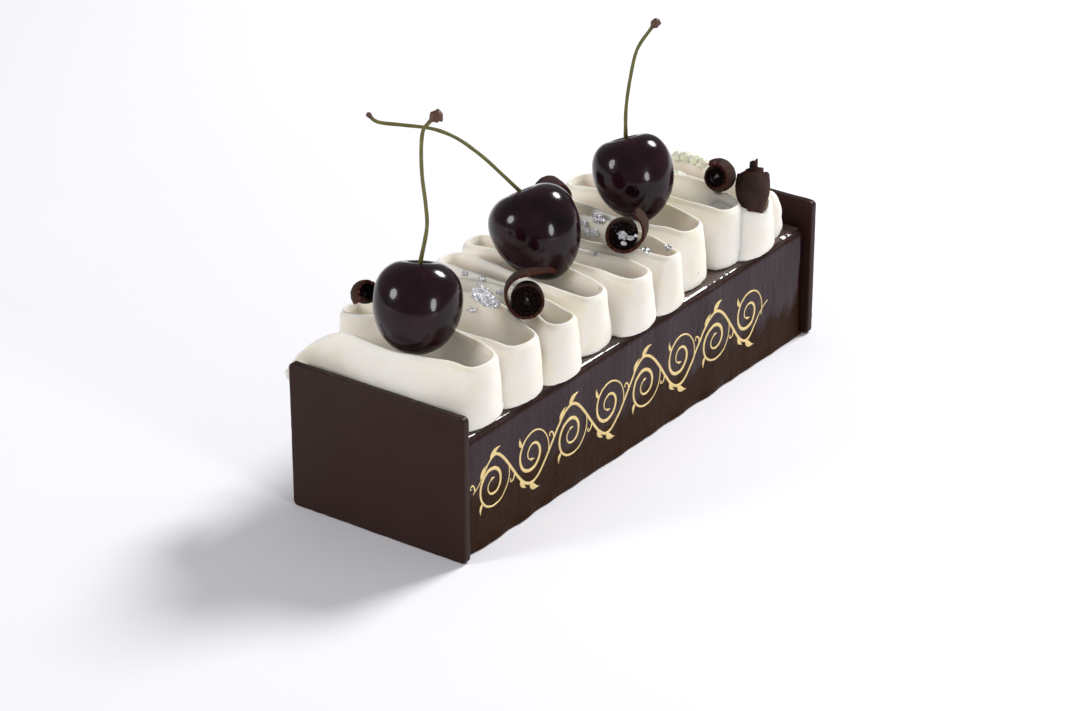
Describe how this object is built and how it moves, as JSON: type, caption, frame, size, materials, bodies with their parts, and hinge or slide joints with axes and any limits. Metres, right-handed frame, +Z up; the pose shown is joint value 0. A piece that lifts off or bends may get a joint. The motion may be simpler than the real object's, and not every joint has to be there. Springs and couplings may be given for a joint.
{
  "type": "yule log cake",
  "caption": "Glazed chocolate log cake between flat end plaques, topped with looping piped cream, dark cherries on their stems and rolled chocolate curls.",
  "frame": {"origin": "centre of the flat underside of the log", "axes": "+Y along the log from the front plaque to the back plaque, +X across the log to its right, +Z up"},
  "size_m": [0.0829, 0.2086, 0.1394],
  "materials": {
    "glaze": "mirror glaze, near-black chocolate",
    "plaque": "satin dark chocolate",
    "cream": "soft ivory whipped cream with vanilla specks",
    "cherry": "glossy near-black skin",
    "stem": "olive-green stalk with a brown knob",
    "curl": "dull dark chocolate with reddish-brown edges"
  },
  "bodies": {
    "root": {"cake_log": "glaze", "plaque_front": "plaque", "plaque_back": "plaque", "cream_ribbon": "cream", "cherry_front": "cherry", "stem_front": "stem", "cherry_middle": "cherry", "stem_middle": "stem", "cherry_back": "cherry", "stem_back": "stem", "curl_left_of_front_cherry": "curl", "curl_before_middle_cherry": "curl", "curl_behind_middle_cherry": "curl", "curl_before_back_cherry": "curl", "curl_right_of_back_cherry": "curl", "curl_standing_at_the_back": "curl"}
  },
  "joints": []
}
